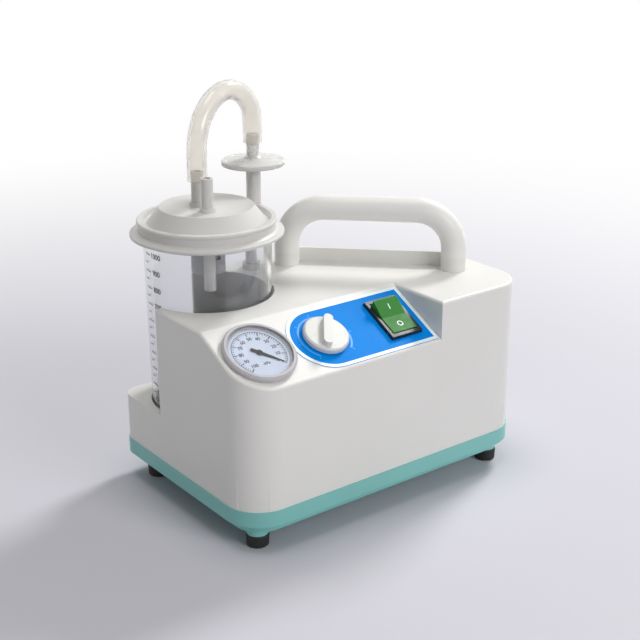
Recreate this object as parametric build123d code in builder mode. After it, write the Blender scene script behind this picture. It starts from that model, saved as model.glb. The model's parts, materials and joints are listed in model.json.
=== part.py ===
"""Portable suction unit: a moulded case with a pump inside, a clear collection jar in a corner recess,
a lid with a float valve, a hose arch and a bacterial filter, and a sloped control panel.

Millimetres, +X to the right along the front, +Y to the back, +Z up. Everything is laid out about the
middle of the base on the floor and moved once, on writing, so that the origin lies on the floor under
the middle of the whole outline.
"""
from math import asin, atan2, cos, degrees, radians, sin, sqrt, tan
import os

from build123d import *

os.makedirs("parts", exist_ok=True)

# Case outline
body_width = 280.0
body_depth = 188.0
front_corner = 31.0
rear_corner = 15.0
wall = 2.6
seam_inset = 0.8

# Heights of the base and the case
foot_height = 10.0
boss_drop = 4.5
tray_step_height = 8.0
tray_band_height = 12.5
case_height = 128.5

# Sloped control panel at the front left
panel_width = 185.0
panel_depth = 61.0
panel_drop = 31.5
edge_round = 2.5

# Handle, set diagonally across the top
handle_from_right = 132.0
handle_from_back = 33.0
handle_span = 140.0
handle_turn = -44.4
handle_radius = 10.5
handle_rise = 50.0
handle_bend = 32.0
spigot_radius = 8.0
spigot_length = 18.0
socket_height = 12.0
ridge_setback = 8.0
ridge_top_width = 3.0
rear_slope = 30.0

# Collection jar and its recess
jar_from_left = 57.0
jar_from_back = 53.0
jar_radius = 50.3
jar_wall = 2.5
jar_height = 157.0
jar_taper = 1.4
jar_floor_height = 25.0
jar_pocket_depth = 14.0
jar_pocket_clearance = 1.0
recess_clearance = 1.5
recess_side_shift = 11.0
recess_back_shift = 15.0

# Lid of the jar
lid_flange_radius = 60.4
lid_wall = 2.6
lid_rim_height = 3.0
platform_radius = 37.0
platform_height = 12.3
skirt_length = 9.4
skirt_clearance = 0.4
seal_thickness = 2.0
port_shift_x = -4.9
port_shift_y = 3.8
port_radius = 5.2
port_bore = 3.2
port_length = 27.0
patient_shift_x = -9.1
patient_shift_y = -16.4
patient_radius = 4.6
patient_bore = 3.0
patient_length = 26.0
drip_tube_depth = 60.0

# Float valve under the lid
cage_radius = 13.5
cage_wall = 1.8
float_radius = 9.6
float_length = 24.0
float_travel = 12.0

# Hose arch and bacterial filter
hose_radius = 7.8
hose_fit = 0.05
filter_shift_x = 64.0
filter_shift_y = 28.5
filter_height = 90.0
filter_radius = 26.0
filter_rim = 4.0
stem_radius = 6.0
stem_bore = 4.2
nozzle_fit = 0.08
nozzle_reach = 16.0

# Vacuum gauge
gauge_from_left = 32.5
gauge_down_slope = 33.5
gauge_radius = 28.5
gauge_proud = 5.0
gauge_depth = 20.0
gauge_wall = 1.6
bezel_lip = 3.2
needle_length = 19.0

# Regulator knob and valve
knob_from_left = 92.0
knob_down_slope = 35.0
knob_radius = 18.0
knob_disc_height = 4.5
knob_grip_height = 9.5
knob_grip_width = 8.0
spindle_radius = 3.0
valve_radius = 9.0
valve_length = 34.0

# Rocker switch
switch_from_left = 158.5
switch_down_slope = 35.0
switch_width = 31.0
switch_length = 41.0
switch_frame_height = 3.0
switch_rim = 3.4
switch_depth = 22.0
rocker_tilt = 9.0
rocker_gap = 0.35

# Control label
label_thickness = 0.5
label_edge = 2.5
label_radius = 30.5

# Pump and motor
motor_from_back = 79.0
motor_from_right = 116.0
motor_length = 72.0
motor_radius = 36.0
motor_axis_rise = 65.0
motor_wall = 1.5
shaft_radius = 4.0
rotor_radius = 21.0
rotor_gap = 0.6
fan_radius = 33.0
fan_width = 12.0
crankcase_width = 46.0
crankcase_depth = 52.0
crankcase_height = 52.0
crankcase_wall = 4.0
eccentric_radius = 8.0
eccentric_offset = 2.0
bracket_thickness = 2.0
mount_height = 12.0
mount_radius = 8.0

# Hoses inside the case
inner_hose_radius = 4.5
barb_radius = 2.55
barb_wall = 1.0

# Case fasteners and rear fittings
case_screw_radius = 1.9
case_screw_length = 46.0
screw_head_radius = 3.6
screw_head_height = 2.4
foot_radius = 9.0
foot_inset = 21.0
post_radius = 5.5
screw_clearance = 0.25
inlet_from_right = 48.0
inlet_rise = 48.0
fuse_from_right = 95.0

# Derived levels and places
boss_bottom = foot_height
tray_bottom = boss_bottom + boss_drop
band_bottom = tray_bottom + tray_step_height
seam = band_bottom + tray_band_height
top = seam + case_height
half_width = body_width / 2
half_depth = body_depth / 2
handle_left_x = half_width - handle_from_right
handle_left_y = half_depth - handle_from_back
jar_x = jar_from_left - half_width
jar_y = half_depth - jar_from_back
recess_side_start = jar_y - recess_side_shift
recess_back_start = jar_x + recess_back_shift
filter_x = jar_x + filter_shift_x
filter_y = jar_y + filter_shift_y
gauge_x = gauge_from_left - half_width
knob_x = knob_from_left - half_width
switch_x = switch_from_left - half_width
motor_left = half_width - motor_from_right
motor_y = half_depth - motor_from_back
inlet_x = half_width - inlet_from_right
fuse_x = half_width - fuse_from_right
panel_break_y = panel_depth - half_depth
panel_right = panel_width - half_width
panel_angle = degrees(atan2(panel_drop, panel_depth))
jar_floor = seam + jar_floor_height
pocket_rim = jar_floor + jar_pocket_depth
recess_radius = jar_radius + recess_clearance
jar_base_radius = jar_radius - jar_taper
pocket_radius = jar_base_radius + jar_pocket_clearance
jar_rim = jar_floor + jar_height
lid_land = jar_rim + seal_thickness + lid_wall
lid_top = lid_land + platform_height
port_x = jar_x + port_shift_x
port_y = jar_y + port_shift_y
patient_x = jar_x + patient_shift_x
patient_y = jar_y + patient_shift_y
filter_z = top + filter_height
motor_z = tray_bottom + wall + motor_axis_rise

# The part's frame: the floor under the middle of the outline of case and lid
outline_left = min(-half_width, jar_x - lid_flange_radius)
outline_back = max(half_depth, jar_y + lid_flange_radius)
to_frame = Location((-(outline_left + half_width) / 2, -(outline_back - half_depth) / 2, 0))

# Planes of the sloped panel and the handle
panel = Plane(
    origin=(0, panel_break_y, top),
    x_dir=(1, 0, 0),
    z_dir=(0, -sin(radians(panel_angle)), cos(radians(panel_angle))),
)
handle_dir = Vector(cos(radians(handle_turn)), sin(radians(handle_turn)), 0)
handle_back = Vector(-sin(radians(handle_turn)), cos(radians(handle_turn)), 0)
handle_plane = Plane(origin=(handle_left_x, handle_left_y, top), x_dir=handle_dir, z_dir=-handle_back)
handle_feet = [
    (handle_left_x, handle_left_y),
    (handle_left_x + handle_span * handle_dir.X, handle_left_y + handle_span * handle_dir.Y),
]


def level(height):
    """Horizontal plane at a height above the floor, centred on the base."""
    return Plane.XY.offset(height)


def upright(x, y, height=0.0):
    """Plane for the half section of a turned piece that stands on a vertical axis at x, y."""
    return Plane(origin=(x, y, height), x_dir=(1, 0, 0), z_dir=(0, -1, 0))


def on_panel(x, down, above=0.0):
    """Plane parallel to the panel, at x along it, a distance down the slope and a height above it."""
    return Plane(origin=panel.from_local_coords((x, -down, above)), x_dir=panel.x_dir, z_dir=panel.z_dir)


def panel_section(x, down, above=0.0):
    """Plane for the half section of a piece turned about an axis square to the panel."""
    base = on_panel(x, down, above)
    return Plane(origin=base.origin, x_dir=base.x_dir, z_dir=-base.y_dir)


def save(piece, name):
    """Label a finished piece, move it to the part's frame and write its STEP file."""
    piece.part.label = name
    export_step(piece.part.moved(to_frame), f"parts/{name}.step")


def run_radii(points):
    """Radius of each corner of a hose, as large as its two runs allow."""
    radii = []
    for before, corner, after in zip(points, points[1:], points[2:]):
        first = Vector(*corner) - Vector(*before)
        second = Vector(*after) - Vector(*corner)
        half_turn = radians(first.get_angle(second)) / 2
        radii.append(0.45 * min(first.length, second.length) / tan(half_turn))
    return radii


def hose(points, outer, bore):
    """Tube of straight runs and tangent arcs through the corner points."""
    with BuildPart() as tube:
        with BuildLine() as route:
            FilletPolyline(*points, radius=run_radii(points))
        with BuildSketch(Plane(origin=route.line @ 0, z_dir=route.line % 0)):
            Circle(outer)
            if bore:
                Circle(bore, mode=Mode.SUBTRACT)
        sweep()
    return tube


def turned(section_plane, outline):
    """Solid of revolution about the section plane's own Y axis from a closed outline."""
    with BuildPart() as solid:
        with BuildSketch(section_plane):
            with BuildLine():
                Polyline(*outline, close=True)
            make_face()
        revolve(axis=Axis(section_plane.origin, section_plane.y_dir))
    return solid


# Base tray
def base_outline(inset):
    """Plan of the base, rounder at the front than at the back, drawn in by an inset."""
    with BuildSketch(Plane.XY) as plan:
        Rectangle(body_width - 2 * inset, body_depth - 2 * inset)
        fillet(plan.vertices().group_by(Axis.Y)[0], front_corner - inset)
        fillet(plan.vertices().group_by(Axis.Y)[-1], rear_corner - inset)
    return plan.sketch


foot_spots = [
    (side * (half_width - foot_inset), end * (half_depth - foot_inset))
    for side in (-1, 1)
    for end in (-1, 1)
]
tray_step_inset = 7.0
tray_floor = tray_bottom + wall
tray_lip_height = 3.0
tray_lip_gap = 0.3
lip_inset = seam_inset + wall + tray_lip_gap
lip_width = 1.8
vent_slot_length = 34.0
vent_slot_width = 3.0
vent_slot_pitch = 7.0

with BuildPart() as base_tray:
    with BuildSketch(level(band_bottom)):
        add(base_outline(0))
    extrude(amount=tray_band_height)
    with BuildSketch(level(band_bottom)):
        add(base_outline(tray_step_inset))
    extrude(amount=-tray_step_height, taper=8)
    with BuildSketch(level(tray_floor)):
        add(base_outline(tray_step_inset + wall + 1.2))
    extrude(amount=seam - tray_floor, mode=Mode.SUBTRACT)
    with BuildSketch(level(band_bottom + wall)):
        add(base_outline(wall))
    extrude(amount=tray_band_height, mode=Mode.SUBTRACT)
    with BuildSketch(level(band_bottom + wall)):
        add(base_outline(lip_inset))
        add(base_outline(lip_inset + lip_width), mode=Mode.SUBTRACT)
    extrude(amount=seam + tray_lip_height - band_bottom - wall)
    with BuildSketch(level(boss_bottom)):
        with Locations(*foot_spots):
            Circle(foot_radius - 0.6)
    extrude(amount=tray_floor - boss_bottom, taper=-3)
    with BuildSketch(level(tray_floor)):
        with Locations(*foot_spots):
            Circle(post_radius)
    extrude(amount=seam - tray_floor)
    with BuildSketch(level(boss_bottom)):
        with Locations(*foot_spots):
            Circle(case_screw_radius + screw_clearance)
    extrude(amount=seam - boss_bottom, mode=Mode.SUBTRACT)
    with BuildSketch(level(tray_bottom)):
        with GridLocations(vent_slot_pitch, 1, 6, 1):
            SlotOverall(vent_slot_length, vent_slot_width, rotation=90)
    extrude(amount=wall, mode=Mode.SUBTRACT)
    fillet(base_tray.edges().filter_by(Plane.XY).group_by(Axis.Z)[0], 0.4)
save(base_tray, "base_tray")

# Rubber feet, each with a recess for the head of the case screw
foot_recess = 5.0
foot_outline = [
    (case_screw_radius + screw_clearance, foot_recess),
    (screw_head_radius + 0.6, foot_recess),
    (screw_head_radius + 0.6, 0),
    (foot_radius - 1.2, 0),
    (foot_radius - 0.4, 0.8),
    (foot_radius, foot_height - 1.5),
    (foot_radius - 0.6, foot_height),
    (case_screw_radius + screw_clearance, foot_height),
]
one_foot = turned(upright(0, 0), foot_outline)
with BuildPart() as rubber_feet:
    with Locations(*foot_spots):
        add(one_foot.part)
save(rubber_feet, "rubber_feet")

with BuildPart() as case_screws:
    with BuildSketch(level(foot_recess)):
        with Locations(*foot_spots):
            Circle(screw_head_radius)
    extrude(amount=-screw_head_height)
    with BuildSketch(level(foot_recess)):
        with Locations(*foot_spots):
            Circle(case_screw_radius)
    extrude(amount=case_screw_length)
    with BuildSketch(level(foot_recess - screw_head_height)):
        with Locations(*foot_spots):
            Rectangle(4.0, 0.9)
            Rectangle(0.9, 4.0)
    extrude(amount=1.2, mode=Mode.SUBTRACT)
save(case_screws, "case_screws")


# Upper case
ridge_edge = Vector(handle_left_x, handle_left_y, top + socket_height)
ridge_edge += handle_back * (ridge_setback + ridge_top_width)
rear_plane = Plane(
    origin=ridge_edge,
    x_dir=handle_dir,
    z_dir=handle_back * sin(radians(rear_slope)) + Vector(0, 0, cos(radians(rear_slope))),
)
far = 2 * body_width


def case_form(inset):
    """The outside of the upper case, or its inside when drawn in by the wall."""
    roof = top - inset
    fall = panel_drop / panel_depth
    lowered = top - inset / cos(radians(panel_angle))
    pocket = pocket_radius if inset == 0 else recess_radius
    pocket_top = pocket_rim if inset == 0 else jar_floor - inset
    with BuildPart() as form:
        with BuildSketch(level(seam)):
            add(base_outline(seam_inset + inset))
        extrude(amount=roof - seam)
        # the panel slope, open to the left and stopped by the step wall on the right
        with BuildSketch(Plane.YZ.offset(-body_width)):
            with BuildLine():
                Polyline(
                    (panel_break_y + body_depth, lowered + body_depth * fall),
                    (panel_break_y - body_depth, lowered - body_depth * fall),
                    (panel_break_y - body_depth, top + body_depth),
                    close=True,
                )
            make_face()
        extrude(amount=body_width + panel_right + inset, mode=Mode.SUBTRACT)
        # the pocket that holds the jar's foot
        with BuildSketch(level(jar_floor - inset)):
            with Locations((jar_x, jar_y)):
                Circle(pocket + inset)
        extrude(amount=body_depth, mode=Mode.SUBTRACT)
        # the recess above it and the corner left open behind the jar
        with BuildSketch(level(pocket_top)):
            with Locations((jar_x, jar_y)):
                Circle(recess_radius + inset)
            with Locations((jar_x + inset, recess_side_start - inset)):
                Rectangle(body_width, body_depth, align=(Align.MAX, Align.MIN))
            with Locations((recess_back_start + inset, jar_y)):
                Rectangle(body_width, body_depth, align=(Align.MAX, Align.MIN))
        extrude(amount=body_depth, mode=Mode.SUBTRACT)
        # the rear falls away behind the handle
        with BuildSketch(rear_plane.offset(-inset)):
            with Locations((0, far / 2)):
                Rectangle(2 * far, 2 * far)
        extrude(amount=far, mode=Mode.SUBTRACT)
    return form.part


def is_recess(edge):
    return edge.geom_type == GeomType.CIRCLE and abs(edge.radius - recess_radius) < 0.01


outer_form = case_form(0)
inner_form = case_form(wall)
ridge_profile = [
    (ridge_setback, 0),
    (ridge_setback, socket_height),
    (ridge_setback + ridge_top_width, socket_height),
    (ridge_setback + ridge_top_width + (socket_height + 1) / tan(radians(rear_slope)), -1),
    (ridge_setback, -1),
]
post_height = 40.0
socket_wall = 2.6
socket_floor = 3.0
spigot_bottom = top + socket_height - spigot_length
spigot_fit = 0.1
handle_screw_radius = 1.9
gauge_body_radius = gauge_radius - bezel_lip - 0.4
neck_radius = 4.5
neck_fit = 0.3
switch_body_width = switch_width - 4.0
switch_body_length = switch_length - 4.0
inlet_neck_radius = 5.0
c14_width = 27.2
c14_height = 19.6
c14_screw_pitch = 40.0
fuse_radius = 6.0
side_vent_rows = 7
side_vent_pitch = 7.0

with BuildPart() as upper_case:
    add(outer_form)
    crown = upper_case.faces().filter_by(Plane.XY).sort_by(Axis.Z)[-1]
    sloped = [
        face
        for face in upper_case.faces().filter_by(GeomType.PLANE)
        if face.normal_at().dot(panel.z_dir) > 0.9999
    ][0]
    long_edges = [
        edge
        for edge in crown.outer_wire().edges()
        if edge.length > 8 * edge_round and not is_recess(edge)
    ]
    panel_edges = [
        edge
        for edge in sloped.outer_wire().edges()
        if abs(edge.center().X - panel_right) > 0.01 and abs(edge.center().Z - top) > 0.01
    ]
    fillet(long_edges + panel_edges, edge_round)
    # the ridge behind the handle, its back in line with the falling rear
    with BuildSketch(Plane(origin=handle_plane.origin, x_dir=handle_back, z_dir=handle_dir)):
        with BuildLine():
            Polyline(*[(back, height) for back, height in ridge_profile], close=True)
        make_face()
    extrude(amount=handle_span)
    # sockets that the feet of the handle stand in
    with BuildSketch(level(top - wall)):
        with Locations(*handle_feet):
            Circle(handle_radius)
    extrude(amount=wall + socket_height)
    add(inner_form, mode=Mode.SUBTRACT)
    with BuildSketch(level(spigot_bottom - socket_floor)):
        with Locations(*handle_feet):
            Circle(spigot_radius + socket_wall)
    extrude(amount=top - spigot_bottom + socket_floor - 0.5)
    with BuildSketch(level(spigot_bottom)):
        with Locations(*handle_feet):
            Circle(spigot_radius + spigot_fit)
    extrude(amount=spigot_length, mode=Mode.SUBTRACT)
    with BuildSketch(level(spigot_bottom - socket_floor)):
        with Locations(*handle_feet):
            Circle(handle_screw_radius + screw_clearance)
    extrude(amount=socket_floor, mode=Mode.SUBTRACT)
    # posts for the case screws, each tied to the walls by two ribs
    with BuildSketch(level(seam)):
        with Locations(*foot_spots):
            Circle(post_radius)
        for x, y in foot_spots:
            side = 1 if x > 0 else -1
            end = 1 if y > 0 else -1
            with Locations((x + side * (foot_inset - wall) / 2, y)):
                Rectangle(foot_inset - wall, 2.0)
            with Locations((x, y + end * (foot_inset - wall) / 2)):
                Rectangle(2.0, foot_inset - wall)
    extrude(amount=jar_floor - wall - seam)
    with BuildSketch(level(seam)):
        with Locations(*foot_spots):
            Circle(case_screw_radius + 0.05)
    extrude(amount=post_height, mode=Mode.SUBTRACT)
    # clearance for the locating lip of the tray
    with BuildSketch(level(seam)):
        add(base_outline(lip_inset - tray_lip_gap))
        add(base_outline(lip_inset + lip_width + tray_lip_gap), mode=Mode.SUBTRACT)
    extrude(amount=tray_lip_height + tray_lip_gap, mode=Mode.SUBTRACT)
    # openings of the panel: gauge, regulator neck and switch
    with BuildSketch(on_panel(gauge_x, gauge_down_slope, 1)):
        Circle(gauge_body_radius + neck_fit)
    extrude(amount=-4 * wall, mode=Mode.SUBTRACT)
    with BuildSketch(on_panel(knob_x, knob_down_slope, 1)):
        Circle(neck_radius + neck_fit)
    extrude(amount=-4 * wall, mode=Mode.SUBTRACT)
    with BuildSketch(on_panel(switch_x, switch_down_slope, 1)):
        Rectangle(switch_body_width + 2 * neck_fit, switch_body_length + 2 * neck_fit)
    extrude(amount=-4 * wall, mode=Mode.SUBTRACT)
    # suction inlet through the top
    with BuildSketch(level(top + 1)):
        with Locations((filter_x, filter_y)):
            Circle(inlet_neck_radius + neck_fit)
    extrude(amount=-4 * wall, mode=Mode.SUBTRACT)
    # mains inlet and fuse holder through the rear wall
    with BuildSketch(Plane(origin=(0, half_depth, 0), x_dir=(-1, 0, 0), z_dir=(0, 1, 0))):
        with Locations((-inlet_x, seam + inlet_rise)):
            Rectangle(c14_width + 2 * neck_fit, c14_height + 2 * neck_fit)
            with GridLocations(c14_screw_pitch, 1, 2, 1):
                Circle(1.7)
        with Locations((-fuse_x, seam + inlet_rise)):
            Circle(fuse_radius + neck_fit)
    extrude(amount=-4 * wall, mode=Mode.SUBTRACT)
    # cooling slots in the right wall, beside the fan
    with BuildSketch(Plane.YZ.offset(half_width - 3 * wall)):
        with Locations((motor_y, motor_z)):
            with GridLocations(1, side_vent_pitch, 1, side_vent_rows):
                SlotOverall(vent_slot_length * 1.4, vent_slot_width)
    extrude(amount=4 * wall, mode=Mode.SUBTRACT)
save(upper_case, "upper_case")

# Handle
with BuildPart() as handle:
    with BuildLine(handle_plane) as grip_line:
        FilletPolyline(
            (0, socket_height),
            (0, handle_rise),
            (handle_span, handle_rise),
            (handle_span, socket_height),
            radius=handle_bend,
        )
    with BuildSketch(Plane(origin=grip_line.line @ 0, z_dir=grip_line.line % 0)):
        Circle(handle_radius)
    sweep()
    with BuildSketch(level(spigot_bottom)):
        with Locations(*handle_feet):
            Circle(spigot_radius)
    extrude(amount=spigot_length)
    with BuildSketch(level(spigot_bottom)):
        with Locations(*handle_feet):
            Circle(handle_screw_radius + 0.05)
    extrude(amount=spigot_length - 4, mode=Mode.SUBTRACT)
save(handle, "carry_handle")

with BuildPart() as handle_screws:
    with BuildSketch(level(spigot_bottom - socket_floor)):
        with Locations(*handle_feet):
            Circle(screw_head_radius)
    extrude(amount=-screw_head_height)
    with BuildSketch(level(spigot_bottom - socket_floor)):
        with Locations(*handle_feet):
            Circle(handle_screw_radius)
    extrude(amount=socket_floor + 12)
save(handle_screws, "handle_screws")

# Control label
with BuildPart() as control_label:
    with BuildSketch(panel):
        with Locations((knob_x, -knob_down_slope)):
            Circle(label_radius)
            Rectangle(
                panel_right - label_edge / 2 - knob_x,
                2 * label_radius,
                align=(Align.MIN, Align.CENTER),
            )
        with Locations((knob_x, -knob_down_slope)):
            Circle(neck_radius + neck_fit, mode=Mode.SUBTRACT)
        with Locations((switch_x, -switch_down_slope)):
            Rectangle(
                switch_body_width + 2 * neck_fit,
                switch_body_length + 2 * neck_fit,
                mode=Mode.SUBTRACT,
            )
    extrude(amount=label_thickness)
save(control_label, "control_label")

# Vacuum gauge
flange_thickness = 1.5
dial_level = 0.4
dial_thickness = 0.5
lens_thickness = 1.2
bezel_top = 1.2
hub_radius = 2.6
pin_radius = 0.7
case_outline = [
    (0, -gauge_depth),
    (gauge_body_radius, -gauge_depth),
    (gauge_body_radius, 0),
    (gauge_radius - 0.2, 0),
    (gauge_radius - 0.2, flange_thickness),
    (gauge_body_radius - gauge_wall, flange_thickness),
    (gauge_body_radius - gauge_wall, gauge_wall - gauge_depth),
    (0, gauge_wall - gauge_depth),
]
gauge_section = panel_section(gauge_x, gauge_down_slope)
stem_block = 9.0
arm_width = 5.0
tube_ring_radius = 17.0
tube_radius = 1.8
tube_level = -14.0
tube_gap = 0.15
tube_sweep = 255.0
stem_length = 12.0
stem_mid = gauge_depth + stem_length / 2
barb_length = 8.0


def gauge_plane(above):
    """Plane parallel to the dial, centred on the gauge."""
    return on_panel(gauge_x, gauge_down_slope, above)


gauge_shell = turned(gauge_section, case_outline)
with BuildPart() as gauge_case:
    add(gauge_shell.part)
    with BuildSketch(on_panel(gauge_x, gauge_down_slope, -gauge_depth)):
        Circle(3.2)
    extrude(amount=gauge_wall, mode=Mode.SUBTRACT)
save(gauge_case, "gauge_case")

with BuildPart() as gauge_stem:
    with BuildSketch(on_panel(gauge_x, gauge_down_slope, -gauge_depth)):
        Rectangle(stem_block, stem_block)
    extrude(amount=-stem_length)
    with BuildSketch(on_panel(gauge_x, gauge_down_slope, -gauge_depth)):
        Circle(3.0)
    extrude(amount=gauge_wall + 1.0)
    # arm and block that carry the fixed end of the pressure tube
    with BuildSketch(gauge_plane(gauge_wall - gauge_depth)):
        Rectangle(arm_width, tube_ring_radius, align=(Align.CENTER, Align.MAX))
    extrude(amount=2.0)
    with BuildSketch(gauge_plane(gauge_wall - gauge_depth)):
        with Locations((0, -tube_ring_radius)):
            Rectangle(arm_width + 1, 5.0)
    extrude(amount=tube_level + gauge_depth - gauge_wall + tube_radius)
    with BuildSketch(
        Plane(
            origin=panel.from_local_coords((gauge_x + stem_block / 2, -gauge_down_slope, -stem_mid)),
            x_dir=panel.y_dir,
            z_dir=panel.x_dir,
        )
    ):
        Circle(barb_radius)
        Circle(barb_radius - barb_wall, mode=Mode.SUBTRACT)
    extrude(amount=barb_length)
save(gauge_stem, "gauge_stem")

bezel_outline = [
    (gauge_radius - bezel_lip, gauge_proud),
    (gauge_radius - 1.4, gauge_proud),
    (gauge_radius, gauge_proud - 1.6),
    (gauge_radius, flange_thickness),
    (gauge_radius - bezel_lip + 1.0, flange_thickness),
    (gauge_radius - bezel_lip + 1.0, gauge_proud - bezel_top),
    (gauge_radius - bezel_lip, gauge_proud - bezel_top),
]
gauge_bezel = turned(gauge_section, bezel_outline)
save(gauge_bezel, "gauge_bezel")

with BuildPart() as gauge_lens:
    with BuildSketch(on_panel(gauge_x, gauge_down_slope, gauge_proud - bezel_top)):
        Circle(gauge_radius - bezel_lip + 0.9)
    extrude(amount=-lens_thickness)
save(gauge_lens, "gauge_lens")

with BuildPart() as gauge_dial:
    with BuildSketch(on_panel(gauge_x, gauge_down_slope, dial_level)):
        Circle(gauge_body_radius - gauge_wall - 0.1)
        Circle(pin_radius + 0.4, mode=Mode.SUBTRACT)
    extrude(amount=dial_thickness)
save(gauge_dial, "gauge_dial")

# The needle turns with its arbor and pinion; the sector below turns the pinion
needle_level = dial_level + dial_thickness + 0.5
needle_thickness = 0.5
needle_rest_turn = -45.0
needle_tail = 7.0
pinion_teeth = 12
sector_teeth = 100
tooth_module = 0.28
tooth_width = 0.3
tooth_tip = 0.22
tooth_root = 0.3
tooth_length = tooth_tip + tooth_root + 0.05
tooth_middle = (tooth_tip - tooth_root) / 2
pinion_pitch = pinion_teeth * tooth_module / 2
sector_pitch = sector_teeth * tooth_module / 2
sector_x = 0.0
sector_y = pinion_pitch + sector_pitch
movement_level = -8.0
movement_thickness = 1.2
plate_thickness = 1.0
plate_gap = 1.6
lower_plate_top = movement_level - plate_gap
upper_plate_bottom = movement_level + movement_thickness + plate_gap
pivot_radius = 0.8
pivot_fit = 0.05
sector_hub = 1.9
tooth_step = 360 / sector_teeth
needle_sweep = 270.0
sector_sweep = needle_sweep * pinion_teeth / sector_teeth
teeth_past = 1
teeth_cut = round(sector_sweep / tooth_step) + 2 * teeth_past + 1
rest_turn = radians(needle_rest_turn)
needle_plane = Plane(
    origin=gauge_plane(needle_level).origin,
    x_dir=panel.x_dir * cos(rest_turn) + panel.y_dir * sin(rest_turn),
    z_dir=panel.z_dir,
)


with BuildPart() as gauge_needle:
    with BuildSketch(needle_plane):
        with BuildLine():
            Polyline(
                (-needle_tail, -1.3),
                (0, -1.6),
                (needle_length, -0.25),
                (needle_length, 0.25),
                (0, 1.6),
                (-needle_tail, 1.3),
                close=True,
            )
        make_face()
        Circle(hub_radius)
    extrude(amount=needle_thickness)
    with BuildSketch(gauge_plane(needle_level)):
        Circle(pin_radius)
    extrude(amount=lower_plate_top - plate_thickness - needle_level)
    with BuildSketch(gauge_plane(movement_level)):
        Circle(pinion_pitch - tooth_root)
        # a gap between two teeth faces the sector
        with PolarLocations(
            pinion_pitch + tooth_middle, pinion_teeth, start_angle=90 + 180 / pinion_teeth
        ):
            Rectangle(tooth_length, tooth_width)
    extrude(amount=movement_thickness)
save(gauge_needle, "gauge_needle")

first_tooth = 270 - teeth_past * tooth_step
with BuildPart() as gauge_sector:
    with BuildSketch(gauge_plane(movement_level)):
        with Locations((sector_x, sector_y)):
            Circle(sector_hub)
            with PolarLocations(
                sector_pitch + tooth_middle,
                teeth_cut,
                start_angle=first_tooth,
                angular_range=teeth_cut * tooth_step,
            ):
                Rectangle(tooth_length, tooth_width)
        with BuildLine():
            rim_arc = CenterArc(
                (sector_x, sector_y),
                sector_pitch - tooth_root,
                first_tooth - tooth_step / 2,
                teeth_cut * tooth_step,
            )
            Line(rim_arc @ 1, (sector_x, sector_y))
            Line((sector_x, sector_y), rim_arc @ 0)
        make_face()
        with Locations((sector_x, sector_y)):
            Circle(pivot_radius + pivot_fit, mode=Mode.SUBTRACT)
    extrude(amount=movement_thickness)
save(gauge_sector, "gauge_sector")

plate_width = 10.0
plate_low_y = -4.0
plate_high_y = sector_y + 1.3
plate_mid_y = (plate_low_y + plate_high_y) / 2
post_spots = [(0, plate_low_y - 1), (-3.0, sector_y + 3.3), (3.0, sector_y + 3.3)]
plate_post_radius = 1.1
leg_radius = 1.2
leg_shift = plate_width / 2 - 1.25
leg_spots = [(-leg_shift, plate_low_y), (leg_shift, plate_low_y), (0, sector_y - 5.0)]
with BuildPart() as gauge_movement:
    for base in (lower_plate_top - plate_thickness, upper_plate_bottom):
        with BuildSketch(gauge_plane(base)):
            with Locations((0, plate_mid_y)):
                SlotCenterToCenter(plate_high_y - plate_low_y, plate_width, rotation=90)
            Circle(pin_radius + pivot_fit, mode=Mode.SUBTRACT)
        extrude(amount=plate_thickness)
    with BuildSketch(gauge_plane(lower_plate_top)):
        with Locations(*post_spots):
            Circle(plate_post_radius)
        with Locations((sector_x, sector_y)):
            Circle(pivot_radius)
    extrude(amount=upper_plate_bottom - lower_plate_top)
    with BuildSketch(gauge_plane(gauge_wall - gauge_depth)):
        with Locations(*leg_spots):
            Circle(leg_radius)
    extrude(amount=lower_plate_top - plate_thickness + gauge_depth - gauge_wall)
save(gauge_movement, "gauge_movement")

# Curved tube that straightens with pressure; its link to the sector is left out
tube_block = (arm_width + 1) / 2
tube_start = -90 + degrees(asin((tube_block + tube_gap) / (tube_ring_radius - tube_radius)))
with BuildPart() as pressure_tube:
    with BuildLine(gauge_plane(tube_level)):
        ring = CenterArc((0, 0), tube_ring_radius, tube_start, tube_sweep)
    with BuildSketch(Plane(origin=ring @ 0, z_dir=ring % 0)):
        Circle(tube_radius)
    sweep()
save(pressure_tube, "pressure_tube")

# Regulator: knob outside, brass needle valve inside
knob_gap = 0.8
knob_rest_turn = 56.0
nut_height = 2.2
nut_radius = 6.5
knob_plane = on_panel(knob_x, knob_down_slope, label_thickness + knob_gap)
grip_floor = knob_disc_height - 0.5
spindle_reach = 8.0
spindle_fit = 0.05
valve_top = -wall
with BuildPart() as regulator_knob:
    with BuildSketch(knob_plane):
        Circle(knob_radius)
    extrude(amount=knob_disc_height)
    rim = regulator_knob.edges().filter_by(GeomType.CIRCLE)
    chamfer([edge for edge in rim if knob_plane.to_local_coords(edge.center()).Z > 1], 1.2)
    with BuildSketch(knob_plane.offset(grip_floor)):
        SlotOverall(2 * knob_radius - 4.0, knob_grip_width, rotation=knob_rest_turn)
    extrude(amount=knob_grip_height - grip_floor, taper=4)
    with BuildSketch(knob_plane):
        Circle(nut_radius + 2.0)
    extrude(amount=nut_height + 0.8, mode=Mode.SUBTRACT)
    with BuildSketch(knob_plane):
        Circle(spindle_radius + 0.02)
    extrude(amount=spindle_reach, mode=Mode.SUBTRACT)
save(regulator_knob, "regulator_knob")

seat_level = -valve_length + 3.0
spindle_outline = [
    (0, label_thickness + knob_gap + spindle_reach),
    (spindle_radius, label_thickness + knob_gap + spindle_reach),
    (spindle_radius, seat_level + 6.0),
    (0.4, seat_level),
    (0, seat_level),
]
valve_spindle = turned(panel_section(knob_x, knob_down_slope), spindle_outline)
save(valve_spindle, "valve_spindle")

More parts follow.
